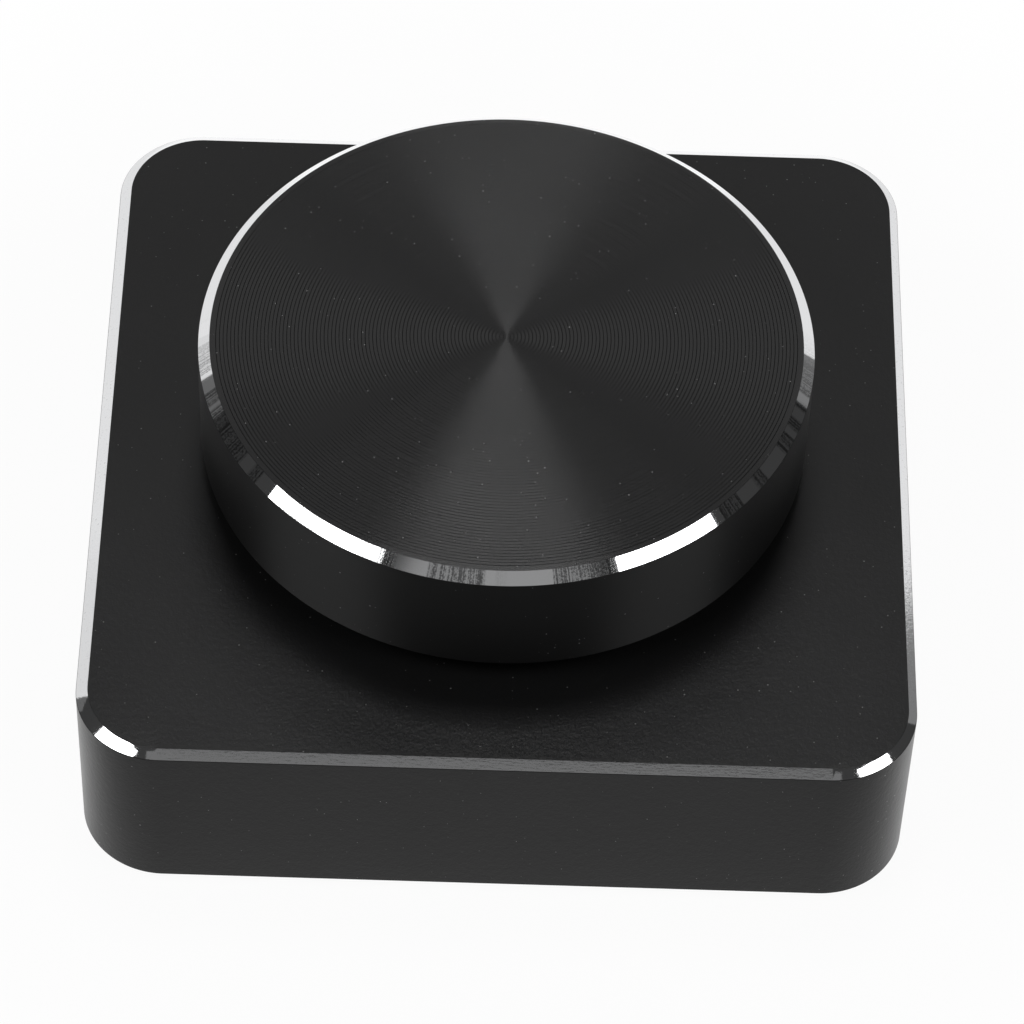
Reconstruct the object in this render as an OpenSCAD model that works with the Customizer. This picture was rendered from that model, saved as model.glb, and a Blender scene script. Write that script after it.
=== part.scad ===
// Desk volume knob: a square machined base and one large turned knob on a push-button rotary encoder.
// Millimetres, +Z up, front at -Y. The origin is under the middle of the non-slip pad, on the desk.

/* [Base housing] */
// Width of the base, left to right
base_w = 60; // [56:1:90]
// Depth of the base, front to back
base_d = 60; // [56:1:90]
// Height of the base above its pad
base_h = 14.6; // [14.2:0.2:20]
// Radius of the upright corners
corner_r = 6.2; // [4:0.2:9]
// Thickness of the side walls
wall_t = 3; // [2.6:0.1:4]
// Thickness of the top wall that carries the encoder
top_t = 3; // [2.2:0.1:3.4]
// How far the bright edge cut reaches in over the top face
edge_in = 0.75; // [0.3:0.05:1.5]
// How far the bright edge cut reaches down the sides
edge_drop = 0.45; // [0.3:0.05:1.5]
// Radius of the corner bosses that take the plate's screws
boss_r = 3; // [2.4:0.1:3.6]
// Radius of the posts that carry the board
post_r = 2.6; // [2:0.1:3.4]

/* [Bottom plate and pad] */
// Thickness of the steel bottom plate
plate_t = 1.8; // [1.2:0.1:2]
// Wall left outside the plate's seat
rim_t = 1.4; // [1:0.1:2]
// Distance of the plate's screws from the base's outer faces
plate_screw_in = 6.8; // [6.2:0.1:9]
// Thread diameter of the plate's screws
plate_screw_d = 2.5; // [2:0.1:3]
// Length of the plate's screws, with the head
plate_screw_l = 6; // [5:0.5:10]
// Thickness of the non-slip pad
pad_t = 1; // [0.6:0.1:2]
// How far the pad stays inside the base's outline
pad_in = 3; // [2:0.25:5]

/* [Knob] */
// Outer diameter of the knob
knob_d = 44.7; // [38:0.1:54]
// Height of the knob
knob_h = 9.8; // [9:0.2:16]
// Gap between the base and the knob at rest
knob_gap = 1.8; // [1:0.1:3]
// Thickness of the knob's side wall
knob_wall = 3.2; // [1.6:0.1:5]
// Thickness of the knob's top
knob_top_t = 2.2; // [1.4:0.1:2.8]
// How far the bright ring reaches in over the knob's top
ring_in = 0.85; // [0.3:0.05:1.4]
// How far the bright ring reaches down the knob's side
ring_drop = 0.7; // [0.3:0.05:1.4]
// Number of ribs in the knob's insert
insert_ribs = 8; // [4:2:12]
// Thickness of the insert's ribs and outer skirt
rib_t = 1.2; // [0.8:0.1:2]
// Thickness of the insert's hub round the shaft
hub_wall = 2; // [1.5:0.1:3]

/* [Encoder] */
// Width of the encoder's mouldings, left to right
enc_w = 12.4; // [11.8:0.1:14]
// Depth of the encoder's mouldings, front to back
enc_d = 11.8; // [11.2:0.1:13]
// Height of the encoder from the board to the top wall
enc_h = 6.5; // [6.3:0.1:6.8]
// Diameter of the shaft
shaft_d = 6; // [5:0.1:6.8]
// Depth of the flat that makes the shaft's D
flat_depth = 1.5; // [1:0.1:2]
// Thickness of the bush round the shaft
bush_wall = 0.5; // [0.4:0.05:0.9]
// Length of the bush above the encoder's frame
bush_l = 7; // [6.2:0.1:7.6]
// Thickness of the nut round the bush, at its flats
nut_wall = 1.5; // [1:0.1:2]
// Thickness of the nut
nut_t = 2; // [1.4:0.1:2.4]
// Number of ridges on the detent wheel, and so of clicks in one turn
detents = 24; // [12:12:24]
// Travel of the knob when it is pressed
press = 0.5; // [0.2:0.05:0.5]

/* [USB socket] */
// Width of the socket's shell
usb_w = 8.94; // [8.9:0.02:9.1]
// Height of the socket's shell
usb_h = 3.26; // [3.2:0.02:3.4]
// Length of the socket's shell
usb_l = 7.35; // [7:0.05:9]
// How far the socket's mouth sits inside the back face
usb_recess = 0.3; // [0:0.1:0.8]

/* [Board] */
// Thickness of the circuit board
board_t = 1.6; // [1:0.1:1.6]
// Gap between the board and the walls round it
board_gap = 0.5; // [0.3:0.1:1]
// Distance of the board's posts from the side walls, inside the hollow
post_in = 5; // [4:0.25:7]
// Distance of the board's posts from each other, front to back
post_spacing = 26; // [20:1:28]
// Thread diameter of the board's screws
board_screw_d = 2; // [1.6:0.1:2.4]
// Length of the board's screws under the head
board_screw_l = 5; // [4:0.5:6]

/* [Hidden] */
$fn = 96;

// Clearances: a glued or threaded fit, a running fit, a loose fit, and the excess of a cutting shape
snug = 0.02;
running = 0.05;
loose = 0.15;
over = 1;

// Levels of the housing, from the desk up
z_base = pad_t;
z_plate = z_base + plate_t;
z_top = z_base + base_h;
z_ceiling = z_top - top_t;
z_board = z_ceiling - enc_h;
z_under = z_board - board_t;
hollow_w = base_w - 2 * wall_t;
hollow_d = base_d - 2 * wall_t;
seat_w = base_w - 2 * rim_t;
seat_d = base_d - 2 * rim_t;
seat_r = corner_r - rim_t;

// Screws of the plate and of the board
plate_screw_x = base_w / 2 - plate_screw_in;
plate_screw_y = base_d / 2 - plate_screw_in;
plate_head_d = 1.85 * plate_screw_d;
plate_head_t = (plate_head_d - plate_screw_d) / 2;
post_x = hollow_w / 2 - post_in;
post_y = post_spacing / 2;
board_head_d = 1.9 * board_screw_d;
board_head_t = 0.6 * board_screw_d;
pilot_spare = 0.8;
drive_t = 0.6;
pad_edge = 0.3;
tail = 0.8;

// Levels of the knob
knob_r = knob_d / 2;
z_knob = z_top + knob_gap;
z_knob_top = z_knob + knob_h;
z_cap = z_knob_top - knob_top_t;
cap_r = knob_r - knob_wall;
rim_break = 0.2;
insert_top_t = 1;
skirt_up = 1;
rib_h = 1.7;
rib_root = 0.5;
clip_h = 1.3;
clip_t = 0.3;
slit_w = 0.8;

// Levels of the encoder: the switch and the wheel are built up from the board, the bush hangs from above
switch_h = 1.6;
switch_floor_t = 0.4;
dome_h = 0.78;
dome_r = 2.4;
dome_t = 0.1;
dome_gap = 0.3;
plunger_flange_t = 0.3;
plunger_flange_r = 2.2;
plunger_r = 1.4;
z_case = z_board + switch_h;
case_floor_t = 0.5;
z_well = z_case + case_floor_t;
wiper_gap = 0.4;
z_disc = z_well + wiper_gap;
disc_t = 0.2;
z_wheel = z_disc + disc_t;
wheel_t = 0.8;
tooth_h = 0.5;
z_wheel_top = z_wheel + wheel_t;
push_up = 0.15;
z_push = z_disc + push_up;
key_step = 0.9;
key_r = shaft_d / 2 - key_step;
key_across = 1.62 * key_r;
wheel_rim = 0.5;
frame_t = 0.6;
frame_in = 0.5;
z_frame = z_ceiling - frame_t;
flange_t = 0.8;
z_flange = z_frame - flange_t;
spring_t = 0.2;
nose_gap = 0.15;
nose_half = 0.6;
knee_gap = 0.1;
spring_flat_y = 2.6;
collar_t = 0.3;

// Radii of the encoder, from the shaft outwards
bush_d = shaft_d + 2 * bush_wall;
nut_af = bush_d + 2 * nut_wall;
collar_step = 0.5;
collar_r = shaft_d / 2 + collar_step;
spring_gap = 0.35;
spring_in_r = collar_r + spring_gap;
spring_w = 0.9;
spring_out_r = spring_in_r + spring_w;
well_r = spring_out_r + loose;
wheel_gap = 0.2;
wheel_r = well_r - wheel_gap;
flange_r = well_r - 2 * wheel_gap;

// Levels from the bush up to the knob's hub
z_collar = z_flange - snug - collar_t;
z_bush_top = z_ceiling + bush_l;
washer_t = 0.5;
washer_d = 1.2 * nut_af;
hub_gap = 0.3;
z_hub = z_bush_top + press + hub_gap;
z_insert_top = z_cap - insert_top_t;
z_shaft_top = z_insert_top - loose;
clip_up = 0.3;
z_clip = z_hub + clip_up;
hub_r = shaft_d / 2 + hub_wall;

// Wiper fingers
wiper_tracks = [2.6, 3.4, 4.2];
finger_w = 0.5;
foot_x = 2;
foot_t = 0.12;

// Encoder frame and pins
strap_w = 6;
lug_w = 2;
pin_w = 0.8;
pin_t = 0.3;
pin_pitch = 2.5;
pin_reach = 1.6;
pin_y = enc_d / 2 + pin_reach;
pin_hole_d = 1.1;

// Socket
usb_wall = 0.3;
usb_back_t = 0.3;
usb_block_l = 1.9;
tongue_w = 6.6;
tongue_t = 0.7;
tongue_back = 1.2;
contact_w = 0.26;
contact_t = 0.05;
contact_pitch = 0.5;
contact_l = 3.2;
y_usb = base_d / 2 - usb_recess;
z_usb = z_board + usb_h / 2;
leg_w = 0.9;
leg_front = 4.2;
leg_back = 6.6;

// Small parts on the board, as [x, y] of each
chip_place = [-14, 0];
chip_w = 7;
chip_t = 1.4;
chip_up = 0.1;
lead_w = 0.3;
lead_t = 0.15;
lead_reach = 1;
lead_pitch = 0.8;
leads_a_side = 8;
regulator_place = [11, 15];
regulator_size = [3, 1.7, 1.2];
crystal_place = [-13, 9];
crystal_size = [5, 3.2, 1.1];
crystal_r = 0.5;
capacitor_size = [2, 1.25, 1];
resistor_size = [1.6, 0.8, 0.45];
capacitor_places = [[7, 20], [-8, 19], [11, 10], [15, 10], [-14, -8], [-20, 5]];
resistor_places = [[13, -4], [13, -7], [13, -10], [-10, -12], [-7, -12], [7, -12]];

// ---- Shared shapes ----

// Puts its children at all four corners of a rectangle
module at_corners(x, y) {
    for (sx = [-1, 1], sy = [-1, 1])
        translate([sx * x, sy * y]) children();
}

// Mirrors its children into all four quarters
module in_quarters() {
    for (mx = [0, 1], my = [0, 1])
        mirror([mx, 0]) mirror([0, my]) children();
}

// Rectangle with rounded corners, centred
module rounded_rect(w, d, r) {
    square([w - 2 * r, d], center = true);
    square([w, d - 2 * r], center = true);
    at_corners(w / 2 - r, d / 2 - r) circle(r);
}

// Long hole: a rectangle with half-round ends, centred
module stadium(w, h) {
    square([w - h, h], center = true);
    for (side = [-1, 1])
        translate([side * (w - h) / 2, 0]) circle(d = h);
}

// Circle with two flats
module double_d(r, across) {
    intersection() {
        circle(r);
        square([across, 2 * r], center = true);
    }
}

// Bar along X whose two upper edges are cut off at a slant
module edge_bar(length, span, h, cut_in, cut_drop) {
    rotate([90, 0, 90])
        linear_extrude(length, center = true)
            polygon([
                [-span / 2, 0],
                [span / 2, 0],
                [span / 2, h - cut_drop],
                [span / 2 - cut_in, h],
                [cut_in - span / 2, h],
                [-span / 2, h - cut_drop]
            ]);
}

// Block with rounded upright corners and a slanted cut round its top edge
module edge_cut_block(w, d, h, r, cut_in, cut_drop) {
    edge_bar(w - 2 * r, d, h, cut_in, cut_drop);
    rotate([0, 0, 90]) edge_bar(d - 2 * r, w, h, cut_in, cut_drop);
    for (quarter = [0:3])
        translate([
            (quarter == 0 || quarter == 3 ? 1 : -1) * (w / 2 - r),
            (quarter < 2 ? 1 : -1) * (d / 2 - r)
        ])
            rotate([0, 0, 90 * quarter])
                rotate_extrude(angle = 90)
                    polygon([[0, 0], [r, 0], [r, h - cut_drop], [r - cut_in, h], [0, h]]);
}

// Corner boss in plan: a round nose joined to both walls
module corner_boss(r) {
    reach = plate_screw_in + over;
    translate([plate_screw_x, plate_screw_y]) {
        circle(r);
        translate([-r, 0]) square([r + reach, reach]);
        translate([0, -r]) square([reach, r + reach]);
    }
}

// Plan of the hollow: the inner walls less the four corner bosses
module hollow_plan() {
    difference() {
        square([hollow_w, hollow_d], center = true);
        in_quarters() corner_boss(boss_r);
    }
}

// Cross recess of a screw, cut up into a head whose face is at z = 0
module cross_drive(size) {
    for (turn = [0, 90])
        rotate([0, 0, turn])
            translate([-size / 2, -size / 8, -over])
                cube([size, size / 4, over + drive_t]);
}

// ---- Base ----

// Machined shell: edge cut on top, plate seat below, posts and bosses inside, holes for bush and socket
module base_housing() {
    color([0.16, 0.16, 0.17])
        difference() {
            translate([0, 0, z_base])
                edge_cut_block(base_w, base_d, base_h, corner_r, edge_in, edge_drop);
            translate([0, 0, z_base - over])
                linear_extrude(plate_t + over) rounded_rect(seat_w, seat_d, seat_r);
            translate([0, 0, z_plate - over])
                linear_extrude(z_board - z_plate + over) hollow_plan();
            translate([0, 0, z_board - over])
                linear_extrude(enc_h + over)
                    difference() {
                        hollow_plan();
                        at_corners(post_x, post_y) circle(post_r);
                    }
            translate([0, 0, z_ceiling - over])
                cylinder(h = top_t + 2 * over, d = bush_d + 2 * loose);
            usb_bore(usb_w + 2 * loose, usb_h + 2 * loose);
            at_corners(plate_screw_x, plate_screw_y)
                translate([0, 0, z_plate - over])
                    cylinder(h = plate_screw_l - plate_t + pilot_spare + over, d = plate_screw_d + 2 * snug);
            at_corners(post_x, post_y)
                translate([0, 0, z_board - over])
                    cylinder(h = board_screw_l - board_t + pilot_spare + over, d = board_screw_d + 2 * snug);
        }
}

// Long hole through the back wall for the socket
module usb_bore(w, h) {
    translate([0, base_d / 2 + over, z_usb])
        rotate([90, 0, 0])
            linear_extrude(wall_t + 2 * over) stadium(w, h);
}

// Steel plate in its seat, with four countersunk holes
module bottom_plate() {
    color([0.55, 0.56, 0.58])
        translate([0, 0, z_base])
            difference() {
                linear_extrude(plate_t)
                    rounded_rect(seat_w - 2 * loose, seat_d - 2 * loose, seat_r - loose);
                at_corners(plate_screw_x, plate_screw_y) {
                    translate([0, 0, -over])
                        cylinder(h = plate_t + 2 * over, d = plate_screw_d + 2 * loose);
                    cylinder(h = plate_head_t, d1 = plate_head_d, d2 = plate_screw_d);
                }
            }
}

// Countersunk screws, flush with the plate
module bottom_plate_screws() {
    shank_d = plate_screw_d - 2 * snug;
    color([0.3, 0.3, 0.32])
        at_corners(plate_screw_x, plate_screw_y)
            translate([0, 0, z_base])
                difference() {
                    union() {
                        cylinder(h = plate_head_t, d1 = plate_head_d - 2 * snug, d2 = shank_d);
                        cylinder(h = plate_screw_l, d = shank_d);
                    }
                    cross_drive(0.55 * plate_head_d);
                }
}

// Non-slip pad, with a small bevel where it meets the desk
module rubber_pad() {
    pad_w = base_w - 2 * pad_in;
    pad_d = base_d - 2 * pad_in;
    color([0.1, 0.1, 0.1])
        translate([0, 0, pad_t])
            mirror([0, 0, 1])
                edge_cut_block(pad_w, pad_d, pad_t, corner_r - pad_in / 2, pad_edge, pad_edge);
}

// ---- Board ----

// Circuit board with notches for the bosses and holes for screws, lugs, pins and socket legs
module main_board() {
    color([0.05, 0.25, 0.16])
        translate([0, 0, z_under])
            linear_extrude(board_t)
                difference() {
                    square([hollow_w - 2 * board_gap, hollow_d - 2 * board_gap], center = true);
                    in_quarters() corner_boss(boss_r + board_gap);
                    at_corners(post_x, post_y) circle(d = board_screw_d + 2 * loose);
                    for (side = [-1, 1])
                        translate([side * (enc_w + frame_t) / 2, 0])
                            square([frame_t + 2 * loose, lug_w + 2 * loose], center = true);
                    at_pins() circle(d = pin_hole_d);
                    at_legs()
                        square([usb_wall + 2 * loose, leg_w + 2 * loose], center = true);
                }
}

// Pan-head screws through the board into the posts
module board_screws() {
    color([0.6, 0.6, 0.62])
        at_corners(post_x, post_y)
            translate([0, 0, z_under - board_head_t])
                difference() {
                    union() {
                        cylinder(h = board_head_t, d = board_head_d);
                        cylinder(h = board_head_t + board_screw_l, d = board_screw_d);
                    }
                    cross_drive(0.6 * board_head_d);
                }
}

// Controller: a flat square package with a pin-one dimple
module controller_chip() {
    dimple_in = 1.2;
    dimple_d = 0.8;
    dimple_deep = 0.1;
    color([0.09, 0.09, 0.1])
        translate([chip_place.x, chip_place.y, z_board + chip_up])
            difference() {
                translate([-chip_w / 2, -chip_w / 2, 0]) cube([chip_w, chip_w, chip_t]);
                translate([dimple_in - chip_w / 2, chip_w / 2 - dimple_in, chip_t - dimple_deep])
                    cylinder(h = over, d = dimple_d);
            }
}

// Bent leads of the controller, all round
module controller_leads() {
    lead_z = chip_up + chip_t / 2;
    color([0.72, 0.73, 0.74])
        translate([chip_place.x, chip_place.y, z_board])
            for (turn = [0:90:270], i = [0:leads_a_side - 1])
                rotate([0, 0, turn])
                    translate([chip_w / 2, (i - (leads_a_side - 1) / 2) * lead_pitch + lead_w / 2, 0])
                        rotate([90, 0, 0])
                            linear_extrude(lead_w)
                                polygon([
                                    [0, lead_z],
                                    [lead_reach / 2, lead_z],
                                    [lead_reach / 2, lead_t],
                                    [lead_reach, lead_t],
                                    [lead_reach, 0],
                                    [lead_reach / 2 - lead_t, 0],
                                    [lead_reach / 2 - lead_t, lead_z - lead_t],
                                    [0, lead_z - lead_t]
                                ]);
}

// Box that stands on the board, with its middle at a place
module on_board(place, size) {
    translate([place.x - size.x / 2, place.y - size.y / 2, z_board]) cube(size);
}

// Voltage regulator
module regulator_chip() {
    color([0.1, 0.1, 0.11]) on_board(regulator_place, regulator_size);
}

// Crystal in its metal can
module crystal() {
    color([0.8, 0.8, 0.82])
        translate([crystal_place.x, crystal_place.y, z_board])
            linear_extrude(crystal_size.z) rounded_rect(crystal_size.x, crystal_size.y, crystal_r);
}

// Ceramic capacitors
module board_capacitors() {
    color([0.66, 0.52, 0.36])
        for (place = capacitor_places)
            on_board(place, capacitor_size);
}

// Chip resistors
module board_resistors() {
    color([0.12, 0.12, 0.13])
        for (place = resistor_places)
            on_board(place, resistor_size);
}

// ---- USB socket ----

// Puts its children at the socket's four legs
module at_legs() {
    for (side = [-1, 1], back = [leg_front, leg_back])
        translate([side * (usb_w - usb_wall) / 2, y_usb - back]) children();
}

// Stretch of a long shape along Y, from a depth behind the socket's mouth
module usb_run(from, length) {
    translate([0, y_usb - from, z_usb])
        rotate([90, 0, 0])
            linear_extrude(length) children();
}

// Drawn shell, closed at the back, with four legs down into the board
module usb_socket_shell() {
    color([0.75, 0.76, 0.78]) {
        difference() {
            usb_run(0, usb_l) stadium(usb_w, usb_h);
            usb_run(-over, usb_l - usb_back_t + over)
                stadium(usb_w - 2 * usb_wall, usb_h - 2 * usb_wall);
        }
        at_legs()
            translate([-usb_wall / 2, -leg_w / 2, z_under - tail])
                cube([usb_wall, leg_w, z_usb - z_under + tail]);
    }
}

// Moulded block at the back of the shell, and the tongue that carries the contacts
module usb_socket_tongue() {
    color([0.08, 0.08, 0.09]) {
        usb_run(usb_l - usb_back_t - usb_block_l, usb_block_l)
            stadium(usb_w - 2 * usb_wall - 2 * snug, usb_h - 2 * usb_wall - 2 * snug);
        usb_run(tongue_back, usb_l - usb_back_t - tongue_back)
            square([tongue_w, tongue_t], center = true);
    }
}

// Twelve contact strips on each face of the tongue
module usb_contacts() {
    contacts = 12;
    color([0.85, 0.68, 0.3])
        for (face = [-1, 1], i = [0:contacts - 1])
            translate([(i - (contacts - 1) / 2) * contact_pitch, 0, 0])
                usb_run(usb_l - usb_back_t - usb_block_l - contact_l, contact_l)
                    translate([0, face * (tongue_t + contact_t) / 2])
                        square([contact_w, contact_t], center = true);
}

// ---- Encoder ----

// Stamped frame: top plate with the bush's hole, two straps, and lugs through the board
module encoder_frame() {
    color([0.78, 0.78, 0.76]) {
        translate([0, 0, z_frame])
            linear_extrude(frame_t)
                difference() {
                    square([enc_w + 2 * frame_t, enc_d - 2 * frame_in], center = true);
                    circle(d = bush_d + 2 * snug);
                }
        for (side = [-1, 1])
            translate([side * (enc_w + frame_t) / 2 - frame_t / 2, 0, 0])
                rotate([90, 0, 90])
                    linear_extrude(frame_t)
                        polygon([
                            [-strap_w / 2, z_frame + frame_t],
                            [-strap_w / 2, z_board],
                            [-lug_w / 2, z_board],
                            [-lug_w / 2, z_under - tail],
                            [lug_w / 2, z_under - tail],
                            [lug_w / 2, z_board],
                            [strap_w / 2, z_board],
                            [strap_w / 2, z_frame + frame_t]
                        ]);
    }
}

// Plan of both mouldings: a rectangle with its corners cut off
module enc_plan() {
    cut = 1;
    polygon([
        [enc_w / 2, enc_d / 2 - cut],
        [enc_w / 2 - cut, enc_d / 2],
        [cut - enc_w / 2, enc_d / 2],
        [-enc_w / 2, enc_d / 2 - cut],
        [-enc_w / 2, cut - enc_d / 2],
        [cut - enc_w / 2, -enc_d / 2],
        [enc_w / 2 - cut, -enc_d / 2],
        [enc_w / 2, cut - enc_d / 2]
    ]);
}

// Upper moulding: the round well of the wheel, and the plunger's hole in its floor
module encoder_case() {
    color([0.2, 0.19, 0.18])
        difference() {
            translate([0, 0, z_case]) linear_extrude(z_frame - z_case) enc_plan();
            translate([0, 0, z_well]) cylinder(h = z_frame - z_well + over, r = well_r);
            translate([0, 0, z_case - over])
                cylinder(h = z_well - z_case + 2 * over, r = plunger_r + 2 * running);
        }
}

// Lower moulding: the chamber of the snap dome
module switch_case() {
    color([0.12, 0.12, 0.13])
        difference() {
            translate([0, 0, z_board]) linear_extrude(switch_h) enc_plan();
            translate([0, 0, z_board + switch_floor_t])
                cylinder(h = switch_h, r = dome_r + dome_gap);
        }
}

// Snap dome: a thin cap of a sphere
module switch_dome() {
    sphere_r = (dome_h * dome_h + dome_r * dome_r) / (2 * dome_h);
    color([0.82, 0.82, 0.8])
        translate([0, 0, z_board + switch_floor_t])
            rotate_extrude()
                intersection() {
                    translate([0, dome_h - sphere_r])
                        difference() {
                            circle(sphere_r);
                            circle(sphere_r - dome_t);
                        }
                    square([dome_r, dome_h + over]);
                }
}

// Plunger between the dome and the shaft's end
module switch_plunger() {
    z_plunger = z_board + switch_floor_t + dome_h + snug;
    color([0.9, 0.9, 0.88]) {
        translate([0, 0, z_plunger]) cylinder(h = plunger_flange_t, r = plunger_flange_r);
        translate([0, 0, z_plunger]) cylinder(h = z_push - snug - z_plunger, r = plunger_r);
    }
}

// Puts its children at the three signal pins in front and the two switch pins behind
module at_pins() {
    for (i = [-1, 0, 1])
        translate([i * pin_pitch, -pin_y]) children();
    for (i = [-1, 1])
        translate([i * pin_pitch, pin_y]) children();
}

// Bent pins from the lower moulding down through the board
module encoder_terminals() {
    pin_z = z_board + switch_floor_t;
    color([0.84, 0.8, 0.66])
        for (side = [-1, 1], i = side < 0 ? [-1, 0, 1] : [-1, 1])
            translate([i * pin_pitch - pin_w / 2, 0, 0])
                rotate([90, 0, 90])
                    linear_extrude(pin_w)
                        polygon([
                            [side * enc_d / 2, pin_z],
                            [side * enc_d / 2, pin_z + pin_t],
                            [side * (pin_y + pin_t / 2), pin_z + pin_t],
                            [side * (pin_y + pin_t / 2), z_under - tail],
                            [side * (pin_y - pin_t / 2), z_under - tail],
                            [side * (pin_y - pin_t / 2), pin_z]
                        ]);
}

// Threaded bush with the flange that holds it under the frame
module encoder_bush() {
    mouth = 0.3;
    bore_r = shaft_d / 2 + running;
    color([0.74, 0.72, 0.66])
        rotate_extrude()
            polygon([
                [bore_r, z_flange],
                [flange_r, z_flange],
                [flange_r, z_frame],
                [bush_d / 2, z_frame],
                [bush_d / 2, z_bush_top - mouth],
                [bush_d / 2 - mouth, z_bush_top],
                [bore_r, z_bush_top]
            ]);
}

// Washer on the base's top face, hidden under the knob
module encoder_washer() {
    color([0.8, 0.8, 0.8])
        translate([0, 0, z_top])
            difference() {
                cylinder(h = washer_t, d = washer_d);
                translate([0, 0, -over]) cylinder(h = washer_t + 2 * over, d = bush_d + 2 * running);
            }
}

// Hexagon nut on the washer
module encoder_nut() {
    color([0.76, 0.76, 0.77])
        translate([0, 0, z_top + washer_t])
            difference() {
                cylinder(h = nut_t, d = nut_af / cos(30), $fn = 6);
                translate([0, 0, -over]) cylinder(h = nut_t + 2 * over, d = bush_d + 2 * snug);
            }
}

// Ring spring bent down at both sides to a nose that rests between two ridges
module detent_spring() {
    top = z_flange;
    nose_z = z_wheel_top + nose_gap;
    knee_z = nose_z + tooth_h + knee_gap;
    color([0.8, 0.76, 0.62])
        intersection() {
            translate([0, 0, z_wheel_top])
                difference() {
                    cylinder(h = top - z_wheel_top, r = spring_out_r);
                    translate([0, 0, -over])
                        cylinder(h = top - z_wheel_top + 2 * over, r = spring_in_r);
                }
            rotate([90, 0, 90])
                linear_extrude(4 * spring_out_r, center = true)
                    polygon([
                        [-spring_out_r - over, top],
                        [-spring_out_r - over, top - spring_t],
                        [-spring_flat_y, top - spring_t],
                        [-nose_half, knee_z],
                        [0, nose_z],
                        [nose_half, knee_z],
                        [spring_flat_y, top - spring_t],
                        [spring_out_r + over, top - spring_t],
                        [spring_out_r + over, top],
                        [spring_flat_y - spring_t / 2, top],
                        [nose_half, knee_z + 1.3 * spring_t],
                        [0, nose_z + 1.3 * spring_t],
                        [-nose_half, knee_z + 1.3 * spring_t],
                        [spring_t / 2 - spring_flat_y, top]
                    ]);
        }
}

// Three wiper fingers that rise from the well's floor to the code disc
module contact_wipers() {
    tip_z = z_disc - running;
    color([0.86, 0.7, 0.36])
        for (track = wiper_tracks)
            translate([0, -track, 0])
                rotate([90, 0, 0])
                    linear_extrude(finger_w, center = true)
                        polygon([
                            [-foot_x, z_well],
                            [2.5 * foot_t - foot_x, z_well],
                            [foot_x / 2, tip_z - foot_t],
                            [foot_x, tip_z - 2 * foot_t],
                            [foot_x, tip_z - foot_t],
                            [foot_x / 2, tip_z],
                            [-foot_x, z_well + foot_t]
                        ]);
}

// Detent wheel: a keyed disc with radial ridges on its upper face
module detent_wheel() {
    pitch = 360 / detents;
    tooth_half = 0.9 * spring_in_r * sin(pitch / 2);
    sunk = 0.1;
    color([0.92, 0.9, 0.84])
        difference() {
            union() {
                translate([0, 0, z_wheel]) cylinder(h = wheel_t, r = wheel_r);
                translate([0, 0, z_disc]) cylinder(h = wheel_t, r = key_r + wheel_rim);
                for (i = [0:detents - 1])
                    rotate([0, 0, (i + 0.5) * pitch])
                        translate([spring_in_r, 0, z_wheel_top])
                            rotate([90, 0, 90])
                                linear_extrude(wheel_r - spring_in_r - running)
                                    polygon([
                                        [-tooth_half, -sunk],
                                        [tooth_half, -sunk],
                                        [tooth_half, 0],
                                        [0, tooth_h],
                                        [-tooth_half, 0]
                                    ]);
            }
            translate([0, 0, z_disc - over])
                linear_extrude(z_wheel_top - z_disc + 2 * over)
                    double_d(key_r + running, key_across + 2 * running);
        }
}

// Code disc: a metal ring with one window for every second click
module code_disc() {
    windows = detents / 2;
    window_in_r = 3.5;
    window_l = 0.9;
    color([0.85, 0.69, 0.33])
        translate([0, 0, z_disc])
            linear_extrude(disc_t)
                difference() {
                    circle(wheel_r - running);
                    circle(key_r + wheel_rim + snug);
                    for (i = [0:windows - 1])
                        rotate(i * 360 / windows)
                            translate([window_in_r, -window_l / 2]) square([window_l, window_l]);
                }
}

// ---- Knob and shaft ----

// Shaft: key flats in the wheel, a collar under the bush, and the D flat in the knob
module encoder_shaft() {
    tip = 0.4;
    shaft_r = shaft_d / 2;
    flat_x = shaft_r - flat_depth;
    color([0.7, 0.71, 0.72])
        difference() {
            union() {
                translate([0, 0, z_push])
                    linear_extrude(z_collar - z_push) double_d(key_r, key_across);
                translate([0, 0, z_collar]) cylinder(h = collar_t, r = collar_r);
                rotate_extrude()
                    polygon([
                        [0, z_collar],
                        [shaft_r, z_collar],
                        [shaft_r, z_shaft_top - tip],
                        [shaft_r - tip, z_shaft_top],
                        [0, z_shaft_top]
                    ]);
            }
            translate([flat_x, -shaft_d, z_bush_top + press])
                cube([shaft_d, 2 * shaft_d, z_shaft_top]);
        }
}

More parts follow.
